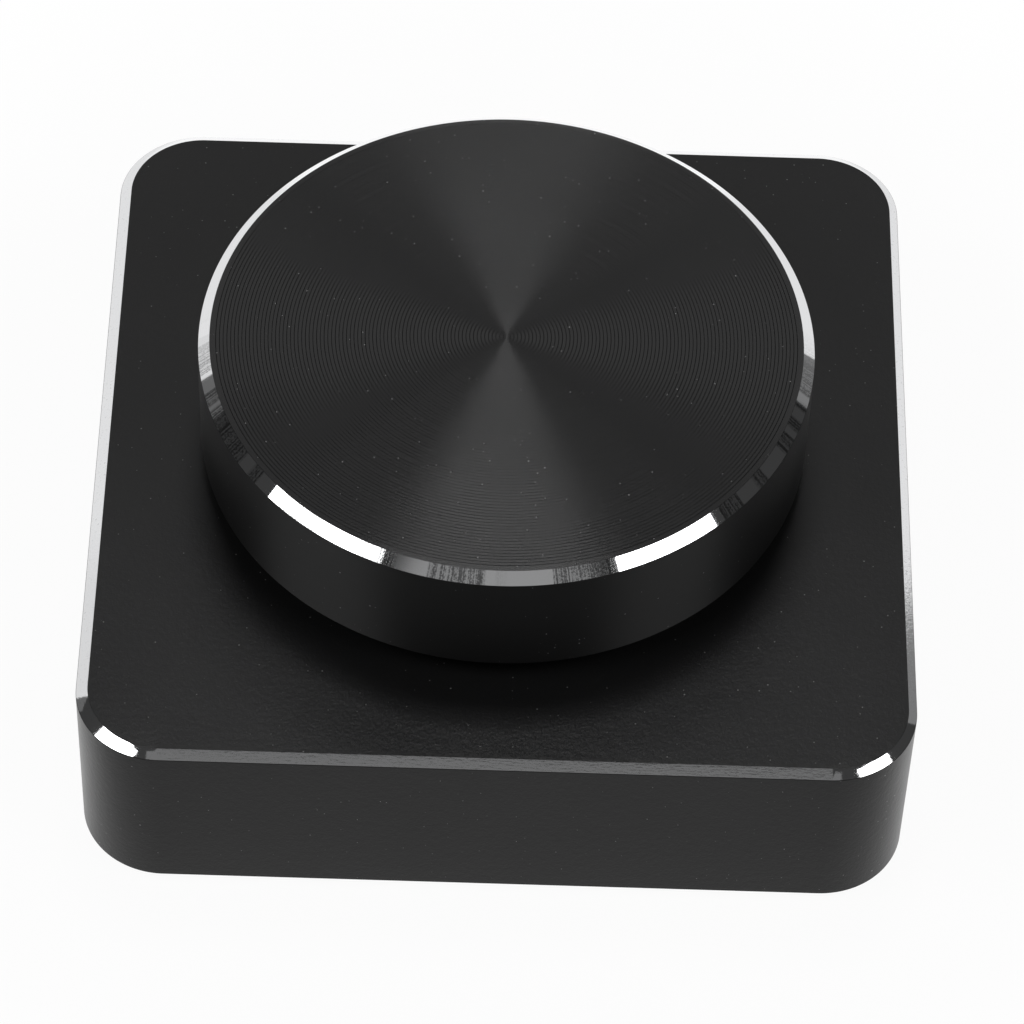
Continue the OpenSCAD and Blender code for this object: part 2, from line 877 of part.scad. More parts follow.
// Insert: hub with the D bore, ribs and a skirt, all under a thin top
module knob_insert() {
    skirt_z = z_knob + skirt_up;
    skirt_r = cap_r - snug;
    bore_r = shaft_d / 2 + snug;
    flat_x = shaft_d / 2 - flat_depth + snug;
    rib_z = z_insert_top - rib_h;
    color([0.14, 0.14, 0.15])
        difference() {
            union() {
                translate([0, 0, z_insert_top]) cylinder(h = insert_top_t, r = skirt_r);
                translate([0, 0, skirt_z])
                    difference() {
                        cylinder(h = z_cap - skirt_z, r = skirt_r);
                        translate([0, 0, -over])
                            cylinder(h = z_insert_top - skirt_z + over, r = skirt_r - rib_t);
                    }
                translate([0, 0, z_hub]) cylinder(h = z_cap - z_hub, r = hub_r);
                for (i = [0:insert_ribs - 1])
                    rotate([0, 0, (i + 0.5) * 360 / insert_ribs])
                        translate([hub_r - rib_root, -rib_t / 2, rib_z])
                            cube([skirt_r - hub_r, rib_t, rib_h + insert_top_t / 2]);
            }
            translate([0, 0, z_hub - over])
                linear_extrude(z_insert_top - z_hub + over)
                    intersection() {
                        circle(bore_r);
                        translate([flat_x - 2 * bore_r, -bore_r]) square(2 * bore_r);
                    }
            translate([-hub_r - over, -slit_w / 2, z_hub - over])
                cube([hub_r + over, slit_w, rib_z - z_hub + over]);
        }
}

// Spring band round the slit hub, open at the slit
module knob_clip() {
    color([0.82, 0.82, 0.84])
        translate([0, 0, z_clip])
            linear_extrude(clip_h)
                difference() {
                    circle(hub_r + snug + clip_t);
                    circle(hub_r + snug);
                    translate([-2 * hub_r, -slit_w]) square([2 * hub_r, 2 * slit_w]);
                }
}

// Turned cap: a thick top, a thick wall, the bright ring's slant and a broken lower edge
module knob_cap() {
    color([0.15, 0.15, 0.16])
        rotate_extrude()
            polygon([
                [0, z_cap],
                [cap_r, z_cap],
                [cap_r, z_knob],
                [knob_r - rim_break, z_knob],
                [knob_r, z_knob + rim_break],
                [knob_r, z_knob_top - ring_drop],
                [knob_r - ring_in, z_knob_top],
                [0, z_knob_top]
            ]);
}

base_housing();
bottom_plate();
bottom_plate_screws();
rubber_pad();
main_board();
board_screws();
usb_socket_shell();
usb_socket_tongue();
usb_contacts();
controller_chip();
controller_leads();
regulator_chip();
crystal();
board_capacitors();
board_resistors();
encoder_frame();
encoder_case();
encoder_bush();
encoder_washer();
encoder_nut();
encoder_terminals();
contact_wipers();
detent_spring();
switch_case();
switch_dome();
switch_plunger();
detent_wheel();
code_disc();
encoder_shaft();
knob_insert();
knob_clip();
knob_cap();
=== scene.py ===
"""Looks of a desk volume knob: a blasted square base, a turned knob, their bright cuts and a white studio.

Everything is in metres, +Z up, with the front at -Y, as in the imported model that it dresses.
"""

import bpy
import numpy as np
from bpy.props import FloatProperty, FloatVectorProperty, IntProperty, PointerProperty
from mathutils import Matrix, Vector


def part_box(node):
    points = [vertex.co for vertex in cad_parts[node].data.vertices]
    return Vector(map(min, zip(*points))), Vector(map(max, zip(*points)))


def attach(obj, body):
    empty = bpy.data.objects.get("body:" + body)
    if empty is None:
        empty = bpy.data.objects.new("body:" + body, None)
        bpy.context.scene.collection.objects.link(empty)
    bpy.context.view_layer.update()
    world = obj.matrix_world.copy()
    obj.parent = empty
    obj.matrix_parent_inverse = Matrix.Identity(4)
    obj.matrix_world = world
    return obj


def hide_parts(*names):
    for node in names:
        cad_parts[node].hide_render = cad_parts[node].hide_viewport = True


bl_info = {
    "name": "Desk Volume Knob",
    "version": (1, 0, 0),
    "blender": (4, 5, 0),
    "location": "View3D > Sidebar > Desk Knob",
    "description": "Makes the machined pieces, the finishes and the studio of a desk volume knob",
    "category": "Object",
}

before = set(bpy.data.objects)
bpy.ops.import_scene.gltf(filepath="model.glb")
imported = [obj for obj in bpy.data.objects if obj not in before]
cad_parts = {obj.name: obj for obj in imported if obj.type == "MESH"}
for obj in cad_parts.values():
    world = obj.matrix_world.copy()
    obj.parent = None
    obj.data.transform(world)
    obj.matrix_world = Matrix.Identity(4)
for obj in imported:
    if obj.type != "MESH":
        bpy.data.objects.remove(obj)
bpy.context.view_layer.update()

MM = 0.001
TAU = 2 * np.pi


# ---- Sizes and colours a user would change ----


def size(name, description, default):
    """A length property, with its default in metres."""
    return FloatProperty(
        name=name, description=description, default=default, min=0,
        subtype="DISTANCE", unit="LENGTH", precision=5,
    )


def share(name, description, default):
    """A property from 0 to 1."""
    return FloatProperty(
        name=name, description=description, default=default, min=0, max=1, subtype="FACTOR"
    )


def colour(name, description, default):
    """A colour property, in linear light."""
    return FloatVectorProperty(
        name=name, description=description, default=default, min=0, max=1, subtype="COLOR"
    )


class KnobSizes(bpy.types.PropertyGroup):
    """Sizes of the turned knob."""

    ring_in: size("Ring In", "How far the bright ring reaches in over the top", 0.85 * MM)
    ring_drop: size("Ring Drop", "How far the bright ring reaches down the side", 0.7 * MM)
    wall: size("Wall", "Thickness of the side wall", 3.2 * MM)
    top: size("Top", "Thickness of the top", 2.2 * MM)
    edge: size("Edge Radius", "Radius left on each machined edge", 0.05 * MM)
    pitch: size("Groove Pitch", "Step of the turning tool across the top", 0.27 * MM)
    groove: size("Groove Width", "Width of each turned groove", 0.05 * MM)
    groove_tilt: FloatProperty(
        name="Groove Tilt", description="Slope of the grooves' walls", default=np.radians(62), unit="ROTATION"
    )
    columns: IntProperty(name="Columns", description="Faces round the knob", default=344, min=64, max=1024)


class BaseSizes(bpy.types.PropertyGroup):
    """Sizes of the machined base."""

    corner: size("Corner Radius", "Radius of the upright corners", 6.2 * MM)
    edge_in: size("Cut In", "How far the bright edge cut reaches in over the top", 0.75 * MM)
    edge_drop: size("Cut Drop", "How far the bright edge cut reaches down the sides", 0.45 * MM)
    cut_shift: size("Cut Shift", "How far the top face inside the cut sits to the right", 0.12 * MM)
    wall: size("Wall", "Thickness of the side walls", 3 * MM)
    top: size("Top", "Thickness of the top wall", 3 * MM)
    rim: size("Rim", "Wall left outside the bottom plate's seat", 1.4 * MM)
    edge: size("Edge Radius", "Radius left on each machined edge", 0.06 * MM)
    hole: size("Hole", "Diameter of the hole for the encoder's bush", 7.3 * MM)
    boss: size("Boss Radius", "Radius of the corner bosses", 3 * MM)
    boss_in: size("Boss In", "Distance of the bosses from the outer faces", 6.8 * MM)
    post: size("Post Radius", "Radius of the board's posts", 2.6 * MM)
    pilot: size("Pilot Radius", "Radius of the screw holes in the posts", 1.02 * MM)
    head: size("Head Radius", "Radius of the board screws' heads, which place the posts", 1.9 * MM)
    socket_flat: size("Socket Flat", "Length of the straight part of the socket's outline", 5.68 * MM)
    slot_gap: size("Slot Gap", "Gap between the back wall's slot and the socket", 0.15 * MM)
    corner_columns: IntProperty(
        name="Corner Columns", description="Faces round each corner", default=40, min=8, max=96
    )


class FinishSettings(bpy.types.PropertyGroup):
    """Colours and roughness of the finishes."""

    black: colour("Anodised Black", "Colour of the anodised metal", (0.0078, 0.0078, 0.008))
    bright: colour("Bright Cut", "Colour of the bare cut metal", (0.92, 0.925, 0.935))
    blasted_roughness: share("Blasted Roughness", "Roughness of the blasted base", 0.31)
    blasted_gloss: share("Blasted Gloss", "Strength of the blasted base's reflection", 0.33)
    top_roughness: share("Top Roughness", "Roughness of the knob's turned top", 0.212)
    side_roughness: share("Side Roughness", "Roughness of the knob's turned side", 0.5)
    turned_stretch: share("Turned Stretch", "How far the knob's highlights stretch across its lines", 1.0)
    bright_roughness: share("Bright Roughness", "Roughness of the bright cuts", 0.05)
    grain: size("Blasted Grain", "Size of the blasted grain", 0.16 * MM)
    dust: colour("Dust", "Colour of the dust specks", (0.42, 0.42, 0.42))


class StageSettings(bpy.types.PropertyGroup):
    """Camera, lamps and floor."""

    camera_place: FloatVectorProperty(
        name="Camera Place", description="Where the camera stands",
        default=(-0.002237, -0.234992, 0.299765), subtype="TRANSLATION", unit="LENGTH", precision=5,
    )
    camera_turn: FloatVectorProperty(
        name="Camera Turn", description="How the camera is turned",
        default=tuple(np.radians((38.4099, -1.0044, 1.3923))), subtype="EULER", unit="ROTATION",
    )
    lens: FloatProperty(
        name="Lens", description="Focal length in millimetres", default=174.7, min=10, unit="CAMERA"
    )
    camera_shift: FloatVectorProperty(
        name="Camera Shift", description="Shift of the lens", default=(0.0478, 0.0264), size=2, precision=4
    )
    room: FloatProperty(name="Room", description="Light from the room all round", default=0.04, min=0)
    floor_white: share("Floor White", "How much of the floor's look is plain white", 0.95)
    sheet_reach: size("Sheet Reach", "How far the white sheet reaches in front of the knob", 0.11)
    lamp_distance: size("Lamp Distance", "Distance of the lamps from the knob", 0.9)
    backdrop_distance: size("Backdrop Distance", "Distance of the white backdrop", 1.4)


# ---- Surfaces worked out as grids ----


def rounded_corners(corners, radius, steps):
    """A polyline with an arc in place of each inner corner, and the outward normal at each of its points.

    Each corner between unit directions a (back) and b (on) gets an arc of the radius: it starts and ends at
    radius / tan(half the angle between a and b) from the corner, and its points and normals turn evenly.
    """
    corners = np.asarray(corners, float)
    before, here, after = corners[:-2], corners[1:-1], corners[2:]
    a = before - here
    b = after - here
    a /= np.linalg.norm(a, axis=1, keepdims=True)
    b /= np.linalg.norm(b, axis=1, keepdims=True)
    half = np.arccos(np.clip((a * b).sum(1), -1, 1))[:, None] / 2
    middle = (a + b) / np.linalg.norm(a + b, axis=1, keepdims=True)
    centre = here + middle * radius / np.sin(half)
    start = here + a * radius / np.tan(half) - centre
    end = here + b * radius / np.tan(half) - centre
    first = np.stack((a[:, 1], -a[:, 0]), 1)
    last = np.stack((-b[:, 1], b[:, 0]), 1)
    turn = np.pi - 2 * half[:, :, None]
    t = np.linspace(0, 1, steps + 1)[None, :, None]
    near = np.sin((1 - t) * turn) / np.sin(turn)
    far = np.sin(t * turn) / np.sin(turn)
    arcs = centre[:, None] + near * start[:, None] + far * end[:, None]
    normals = near * first[:, None] + far * last[:, None]
    points = np.concatenate((corners[:1], arcs.reshape(-1, 2), corners[-1:]))
    normals = np.concatenate((first[:1], normals.reshape(-1, 2), last[-1:]))
    return points, normals


def flat_normals(profile):
    """The outward normal of each straight piece of a profile: its direction turned a quarter to the left."""
    way = np.diff(profile, axis=0)
    way /= np.linalg.norm(way, axis=1, keepdims=True)
    return np.stack((-way[:, 1], way[:, 0]), 1)


def skin(name, rings, closed=False, poles=(False, False), normals=None, marks=None, lengths=None):
    """A mesh between rings of points (rows, columns, 3), each ring closed on itself.

    It turns outwards where the rings run clockwise from above and outwards. Where closed, the last ring
    joins the first. A pole is a first or last ring that has shrunk to one point. normals are those of each
    quad's corners. marks holds one value for each row of quads, kept as bright_cut, and lengths holds each
    ring's v on the UV map.
    """
    rows, columns = rings.shape[:2]
    row = np.arange(rows if closed else rows - 1)[:, None, None]
    column = np.arange(columns)[None, :, None]
    along, across = np.array([0, 0, 1, 1]), np.array([0, 1, 1, 0])
    corner_row, corner_column = np.broadcast_arrays(row + along, column + across)
    number = corner_row % rows * columns + corner_column % columns
    keep = np.ones(number.shape, bool)
    if poles[0]:
        number[0, :, :2] = 0
        keep[0, :, 1] = False
    if poles[1]:
        number[-1, :, 2:] = (rows - 1) * columns
        keep[-1, :, 3] = False
    used, corners = np.unique(number[keep], return_inverse=True)
    sides = keep.sum(-1).reshape(-1)
    mesh = bpy.data.meshes.new(name)
    mesh.vertices.add(len(used))
    mesh.vertices.foreach_set("co", rings.reshape(-1, 3)[used].reshape(-1))
    mesh.loops.add(len(corners))
    mesh.loops.foreach_set("vertex_index", corners.reshape(-1).astype(np.int32))
    mesh.polygons.add(len(sides))
    mesh.polygons.foreach_set("loop_start", (np.cumsum(sides) - sides).astype(np.int32))
    mesh.update(calc_edges=True)
    if lengths is None:
        lengths = np.arange(rows + 1)
    uv = np.stack((corner_column / columns, lengths[corner_row]), -1)
    mesh.uv_layers.new(name="UVMap").uv.foreach_set("vector", uv[keep].reshape(-1).astype(np.float32))
    if marks is not None:
        attribute = mesh.attributes.new("bright_cut", "FLOAT", "FACE")
        attribute.data.foreach_set("value", np.repeat(np.asarray(marks, np.float32), columns))
    mesh.shade_smooth()
    if normals is not None:
        mesh.normals_split_custom_set(normals[keep])
    return mesh


def lathe(name, profile, starts, ends, columns, marks):
    """Surface of revolution: the profile's point (r, z) at angle a is (r cos a, r sin a, z).

    The profile runs from the top's middle outwards, down and back in. starts and ends are the normals
    (r, z) at both ends of each of its straight pieces, and are turned with it.
    """
    angle = -np.arange(columns + 1) / columns * TAU
    ring = np.stack((np.cos(angle), np.sin(angle)), -1)
    points = np.concatenate(
        (profile[:, None, :1] * ring[None, :-1], np.repeat(profile[:, None, 1:], columns, 1)), -1
    )
    both = np.stack((starts, starts, ends, ends), 1)
    corner = ring[np.arange(columns)[:, None] + np.array([0, 1, 1, 0])]
    flat = both[:, None, :, :1] * corner[None]
    upright = np.broadcast_to(both[:, None, :, 1:], (*flat.shape[:3], 1))
    steps = np.linalg.norm(np.diff(profile, axis=0), axis=1)
    lengths = np.concatenate(([0], np.cumsum(steps)))
    poles = (profile[0, 0] == 0, profile[-1, 0] == 0)
    normals = np.concatenate((flat, upright), -1)
    return skin(name, points, poles=poles, normals=normals, marks=marks, lengths=lengths)


def rounded_square(width, depth, radius, corner_columns, side_columns):
    """Outline of a rounded rectangle, clockwise from above, as points and outward normals.

    Each corner is a quarter circle about its own centre, and each side is cut evenly between two corners.
    """
    quarter = np.arange(4)[:, None] * np.pi / 2
    angle = quarter + np.linspace(0, np.pi / 2, corner_columns + 1)[None]
    sign = np.stack((np.array([1, -1, -1, 1]), np.array([1, 1, -1, -1])), -1)
    centre = sign * (np.array([width, depth]) / 2 - radius)
    normal = np.stack((np.cos(angle), np.sin(angle)), -1)
    corner = centre[:, None] + radius * normal
    t = np.arange(1, side_columns)[None, :, None] / side_columns
    side = corner[:, -1:] * (1 - t) + np.roll(corner, -1, axis=0)[:, :1] * t
    points = np.concatenate((corner, side), 1).reshape(-1, 2)
    side_normal = np.repeat(normal[:, -1:], side_columns - 1, 1)
    normals = np.concatenate((normal, side_normal), 1).reshape(-1, 2)
    return points[::-1], normals[::-1]


def new_piece(name, mesh, body, slot_name, *nodes):
    """An object at the origin that rides on a body, takes a finish and stands for the named nodes."""
    piece = bpy.data.objects.new(name, mesh)
    bpy.context.scene.collection.objects.link(piece)
    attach(piece, body)
    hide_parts(*nodes)
    mesh.materials.append(finish(slot_name))
    return piece


# ---- Node tools ----


def put(tree, socket, value):
    """Gives an input another socket's value, or a plain one."""
    if isinstance(value, bpy.types.NodeSocket):
        tree.links.new(value, socket)
    else:
        socket.default_value = value


def feed(tree, inputs, **values):
    """Feeds a node's inputs: names have underscores for spaces."""
    for key, value in values.items():
        put(tree, inputs[key.replace("_", " ")], value)


def add(tree, kind, inputs=None, **settings):
    """Adds a shader node, sets its settings, and feeds its inputs from sockets or plain values."""
    node = tree.nodes.new(kind if kind.startswith("Node") else "ShaderNode" + kind)
    for name, value in settings.items():
        setattr(node, name, value)
    for key, value in (inputs or {}).items():
        put(tree, node.inputs[key], value)
    return node


def calc(tree, operation, *values):
    """One step of arithmetic on numbers."""
    return add(tree, "Math", dict(enumerate(values)), operation=operation).outputs[0]


def stretched(tree, vector, factors):
    """A vector with each of its three parts times a factor."""
    return add(tree, "VectorMath", {0: vector, 1: factors}, operation="MULTIPLY").outputs[0]


def length(tree, vector):
    """How long a vector is."""
    return add(tree, "VectorMath", {0: vector}, operation="LENGTH").outputs["Value"]


def part(tree, vector, axis):
    """One of a vector's three parts: X, Y or Z."""
    return add(tree, "SeparateXYZ", {0: vector}).outputs[axis]


def blend_value(tree, mask, low, high):
    """A number that goes from low to high with a mask."""
    return add(tree, "Mix", {0: mask, 2: low, 3: high}, data_type="FLOAT").outputs[0]


def blend_colour(tree, mask, low, high):
    """A colour that goes from low to high with a mask."""
    return add(tree, "Mix", {0: mask, 6: low, 7: high}, data_type="RGBA").outputs[2]


def spread(tree, value, low, high, out_low=0.0, out_high=1.0):
    """Maps the range of a number from low to high onto another, with soft ends."""
    ends = {0: value, 1: low, 2: high, 3: out_low, 4: out_high}
    return add(tree, "MapRange", ends, interpolation_type="SMOOTHSTEP").outputs[0]


def place(tree):
    """The point on the surface, in the piece's own metres."""
    return add(tree, "TexCoord").outputs["Object"]


def waves(tree, long):
    """Waves a metre, from the length of one."""
    return calc(tree, "DIVIDE", 1, long)


def noise(tree, vector, scale, detail=2.0, roughness=0.5):
    """Even noise, with its scale in waves a metre."""
    inputs = {"Vector": vector, "Scale": scale, "Detail": detail, "Roughness": roughness}
    return add(tree, "TexNoise", inputs).outputs["Fac"]


def effect(name, inputs, outputs):
    """The node group of one shared effect: its tree, the inputs it is given and the outputs it makes.

    It is always given the point on the surface as Vector, besides the numbers named here.
    """
    tree = bpy.data.node_groups.new(name, "ShaderNodeTree")
    sockets = [("Vector", "INPUT", "NodeSocketVector")]
    sockets += [(socket, "INPUT", "NodeSocketFloat") for socket in inputs]
    sockets += [(socket, "OUTPUT", "NodeSocketFloat") for socket in outputs]
    for socket, side, kind in sockets:
        tree.interface.new_socket(socket, in_out=side, socket_type=kind)
    return tree, add(tree, "NodeGroupInput").outputs, add(tree, "NodeGroupOutput").inputs


def turned_lines():
    """Fine lines that the tool leaves: noise along the radius and the height, the same all the way round."""
    tree, given, made = effect("Turned Lines", ["Spacing", "Depth"], ["Height"])
    radius = length(tree, stretched(tree, given["Vector"], (1, 1, 0)))
    across = add(tree, "CombineXYZ", {"X": radius, "Y": part(tree, given["Vector"], "Z")}).outputs[0]
    lines = noise(tree, across, waves(tree, given["Spacing"]), detail=3.0, roughness=0.6)
    feed(tree, made, Height=calc(tree, "MULTIPLY", lines, given["Depth"]))
    return tree


def blasted_grain():
    """Fine pits of a blasted face: two sizes of noise added, with a fleck where the fine one is high."""
    tree, given, made = effect("Blasted Grain", ["Grain", "Depth"], ["Height", "Fleck"])
    coarseness = 0.35
    scale = waves(tree, given["Grain"])
    fine = noise(tree, given["Vector"], scale, detail=2.0)
    coarse = noise(tree, given["Vector"], calc(tree, "MULTIPLY", scale, coarseness), detail=1.0)
    height = calc(tree, "MULTIPLY", calc(tree, "ADD", fine, coarse), given["Depth"])
    feed(tree, made, Height=height, Fleck=spread(tree, fine, low=0.62, high=0.75))
    return tree


def dust_specks():
    """Sparse round specks: cells of the given spacing, of which a share holds one speck.

    Each speck has its own size, up to somewhat over the given one, and its own brightness.
    """
    tree, given, made = effect("Dust Specks", ["Spacing", "Speck", "Share"], ["Mask"])
    least, most, faintest, soft_edge = 0.4, 1.2, 0.15, 0.4
    cells = add(
        tree, "TexVoronoi", {"Vector": given["Vector"], "Scale": waves(tree, given["Spacing"])},
        voronoi_dimensions="3D",
    )
    pick = add(tree, "SeparateColor", {0: cells.outputs["Color"]}).outputs
    chosen = calc(tree, "LESS_THAN", pick[0], given["Share"])
    reach = calc(tree, "DIVIDE", given["Speck"], given["Spacing"])
    sized = calc(tree, "MULTIPLY", reach, spread(tree, pick[1], 0, 1, least, most))
    speck = spread(tree, cells.outputs["Distance"], sized, calc(tree, "MULTIPLY", sized, soft_edge))
    shown = calc(tree, "MULTIPLY", chosen, spread(tree, pick[2], 0, 1, faintest, 1.0))
    feed(tree, made, Mask=calc(tree, "MULTIPLY", speck, shown))
    return tree


def tool_chatter():
    """Mottled patches on a turned cut where the tool chattered, in front and only in stretches.

    The stretches come from slow noise round the axis, taken at one radius so that they end straight
    across the cut. Fleck is how strongly a mark shows.
    """
    tree, given, made = effect(
        "Tool Chatter", ["Radius", "Spacing", "Stretch", "Depth"], ["Height", "Fleck"]
    )
    side, front = 0.1, -0.3
    way = add(
        tree, "VectorMath", {0: stretched(tree, given["Vector"], (1, 1, 0))}, operation="NORMALIZE"
    ).outputs[0]
    rim = add(tree, "VectorMath", {0: way, 3: given["Radius"]}, operation="SCALE").outputs[0]
    slow = noise(tree, rim, waves(tree, given["Stretch"]), detail=1.0)
    in_front = spread(tree, part(tree, way, "Y"), side, front)
    patch = calc(tree, "MULTIPLY", in_front, spread(tree, slow, low=0.49, high=0.52))
    scale = waves(tree, given["Spacing"])
    mottle = noise(tree, given["Vector"], scale, detail=2.0, roughness=0.7)
    marks = calc(tree, "ADD", mottle, noise(tree, rim, scale, detail=1.0))
    height = calc(tree, "MULTIPLY", calc(tree, "MULTIPLY", marks, patch), given["Depth"])
    strong = spread(tree, marks, low=0.85, high=1.15, out_low=0.25)
    feed(tree, made, Height=height, Fleck=calc(tree, "MULTIPLY", strong, patch))
    return tree


def milled_cut():
    """Fine pits and faint tool marks of a milled cut: two noises added, the second drawn out level."""
    tree, given, made = effect("Milled Cut", ["Grain", "Depth"], ["Height", "Pit"])
    level_drawn = (0.3, 0.3, 3)
    scale = waves(tree, given["Grain"])
    pits = noise(tree, given["Vector"], scale, detail=3.0, roughness=0.7)
    marks = noise(tree, stretched(tree, given["Vector"], level_drawn), scale, detail=2.0)
    height = calc(tree, "MULTIPLY", calc(tree, "ADD", pits, marks), given["Depth"])
    feed(tree, made, Height=height, Pit=spread(tree, pits, low=0.58, high=0.7))
    return tree


def handling():
    """Slow changes of gloss from handling: a broad noise between 0 and 1."""
    tree, given, made = effect("Handling", ["Patch"], ["Mask"])
    broad = noise(tree, given["Vector"], waves(tree, given["Patch"]), detail=3.0)
    feed(tree, made, Mask=spread(tree, broad, low=0.3, high=0.7))
    return tree


EFFECTS = {
    "lines": turned_lines,
    "grain": blasted_grain,
    "dust": dust_specks,
    "chatter": tool_chatter,
    "milling": milled_cut,
    "handling": handling,
}
built_effects = {}


def use(tree, name, **values):
    """Places a shared effect in a material, and gives back its outputs."""
    if name not in built_effects:
        built_effects[name] = EFFECTS[name]()
    group = add(tree, "Group", node_tree=built_effects[name])
    feed(tree, group.inputs, Vector=place(tree), **values)
    return group.outputs


def bump(tree, height):
    """Bump from a height in metres."""
    return add(tree, "Bump", {"Height": height, "Strength": 1.0, "Distance": 1.0}).outputs[0]


def rgba(three, times=1.0):
    """A colour with its alpha, made lighter or darker by a factor."""
    return (*(min(1.0, times * c) for c in three), 1.0)


def new_tree(owner):
    """The node tree of a material or a world, emptied."""
    owner.use_nodes = True
    owner.node_tree.nodes.clear()
    return owner.node_tree


def new_material(name):
    """A material with its tree and the inputs of its Principled shader."""
    material = bpy.data.materials.new(name)
    tree = new_tree(material)
    shader = add(tree, "BsdfPrincipled")
    out = add(tree, "OutputMaterial", {"Surface": shader.outputs[0]})
    out.is_active_output = True
    return material, tree, shader.inputs


# ---- Finishes of the two metal pieces that show ----


def blasted_black_metal(settings):
    """Black anodised metal, blasted to a fine grain, with a bright milled cut where bright_cut is 1."""
    material, tree, inputs = new_material("blasted_black_metal")
    cut = add(tree, "Attribute", attribute_name="bright_cut").outputs["Fac"]
    grain = use(tree, "grain", Grain=settings.grain, Depth=0.012 * MM)
    dust = use(tree, "dust", Spacing=0.55 * MM, Speck=0.06 * MM, Share=0.45)["Mask"]
    worn = use(tree, "handling", Patch=14 * MM)["Mask"]
    milled = use(tree, "milling", Grain=0.22 * MM, Depth=0.0015 * MM)
    black = blend_colour(tree, grain["Fleck"], rgba(settings.black), rgba(settings.black, times=1.6))
    black = blend_colour(tree, dust, black, rgba(settings.dust))
    bright = blend_colour(tree, milled["Pit"], rgba(settings.bright), rgba(settings.bright, times=0.85))
    worn_by = 0.03
    roughness = settings.blasted_roughness
    rough = blend_value(tree, worn, roughness - worn_by, roughness + worn_by)
    feed(
        tree, inputs,
        Base_Color=blend_colour(tree, cut, black, bright),
        Metallic=cut,
        Roughness=blend_value(tree, cut, rough, settings.bright_roughness),
        Specular_IOR_Level=settings.blasted_gloss,
        Normal=bump(tree, blend_value(tree, cut, grain["Height"], milled["Height"])),
    )
    return material


def turned_black_metal(settings):
    """Black anodised metal with fine turned lines, and a bright ring where bright_cut is 1.

    The top is smoother than the side. Highlights stretch across the lines, along the UV map's v.
    """
    material, tree, inputs = new_material("turned_black_metal")
    knob = bpy.context.scene.desk_knob_sizes
    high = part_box("knob_cap")[1]
    cut = add(tree, "Attribute", attribute_name="bright_cut").outputs["Fac"]
    top = calc(tree, "GREATER_THAN", part(tree, place(tree), "Z"), high.z - 0.5 * knob.ring_drop)
    lines = use(tree, "lines", Spacing=0.09 * MM, Depth=0.003 * MM)["Height"]
    dust = use(tree, "dust", Spacing=0.55 * MM, Speck=0.06 * MM, Share=0.45)["Mask"]
    worn = use(tree, "handling", Patch=12 * MM)["Mask"]
    chatter = use(
        tree, "chatter", Radius=high.x, Spacing=0.13 * MM, Stretch=2.6 * MM, Depth=0.001 * MM
    )
    black = blend_colour(tree, dust, rgba(settings.black), rgba(settings.dust))
    bright = blend_colour(
        tree, chatter["Fleck"], rgba(settings.bright), rgba(settings.bright, times=0.25)
    )
    worn_by = 0.015
    quarter_turn = 0.25
    rough = blend_value(tree, top, settings.side_roughness, settings.top_roughness)
    rough = calc(tree, "ADD", rough, blend_value(tree, worn, -worn_by, worn_by))
    feed(
        tree, inputs,
        Base_Color=blend_colour(tree, cut, black, bright),
        Metallic=cut,
        Roughness=blend_value(tree, cut, rough, settings.bright_roughness),
        Anisotropic=settings.turned_stretch,
        Anisotropic_Rotation=quarter_turn,
        Tangent=add(tree, "Tangent", direction_type="UV_MAP", uv_map="UVMap").outputs[0],
        Normal=bump(tree, blend_value(tree, cut, lines, chatter["Height"])),
    )
    return material


def plain_finish(name, tone, metallic, roughness):
    """A metal, moulding or laminate with a fine grain, and slow changes of its tone and gloss."""
    material, tree, inputs = new_material(name)
    fine = use(tree, "grain", Grain=0.1 * MM, Depth=0.002 * MM)
    worn = use(tree, "handling", Patch=3 * MM)["Mask"]
    base = blend_colour(tree, worn, rgba(tone), rgba(tone, times=0.8))
    base = blend_colour(tree, fine["Fleck"], base, rgba(tone, times=1.15))
    worn_by = 0.1
    feed(
        tree, inputs,
        Base_Color=base,
        Metallic=metallic,
        Roughness=blend_value(tree, worn, roughness, roughness + worn_by),
        Normal=bump(tree, fine["Height"]),
    )
    return material


# The tone, the share of metal and the roughness of each plain finish.
PLAIN = {
    "zinc_plated_steel": ((0.62, 0.63, 0.65), 1, 0.32),
    "black_screw_steel": ((0.1, 0.1, 0.105), 1, 0.38),
    "bright_screw_steel": ((0.66, 0.66, 0.67), 1, 0.28),
    "pad_rubber": ((0.02, 0.02, 0.021), 0, 0.72),
    "board_laminate": ((0.012, 0.07, 0.035), 0, 0.4),
    "socket_steel": ((0.68, 0.69, 0.71), 1, 0.24),
    "black_moulding": ((0.022, 0.022, 0.024), 0, 0.45),
    "brown_moulding": ((0.05, 0.04, 0.034), 0, 0.42),
    "white_moulding": ((0.78, 0.76, 0.7), 0, 0.45),
    "gold_plate": ((0.86, 0.66, 0.3), 1, 0.22),
    "spring_bronze": ((0.7, 0.52, 0.32), 1, 0.3),
    "tinned_metal": ((0.72, 0.73, 0.74), 1, 0.3),
    "chip_epoxy": ((0.03, 0.03, 0.032), 0, 0.55),
    "ceramic_tan": ((0.42, 0.28, 0.16), 0, 0.5),
    "die_cast_zinc": ((0.55, 0.54, 0.52), 1, 0.42),
    "bright_shaft_steel": ((0.66, 0.67, 0.68), 1, 0.25),
    "spring_steel": ((0.6, 0.6, 0.6), 1, 0.26),
}
MACHINED = {"blasted_black_metal": blasted_black_metal, "turned_black_metal": turned_black_metal}
built_finishes = {}


def finish(slot_name):
    """The material of one of the record's slots, built once."""
    if slot_name not in built_finishes:
        if slot_name in PLAIN:
            built_finishes[slot_name] = plain_finish(slot_name, *PLAIN[slot_name])
        else:
            built_finishes[slot_name] = MACHINED[slot_name](bpy.context.scene.desk_knob_finish)
    return built_finishes[slot_name]


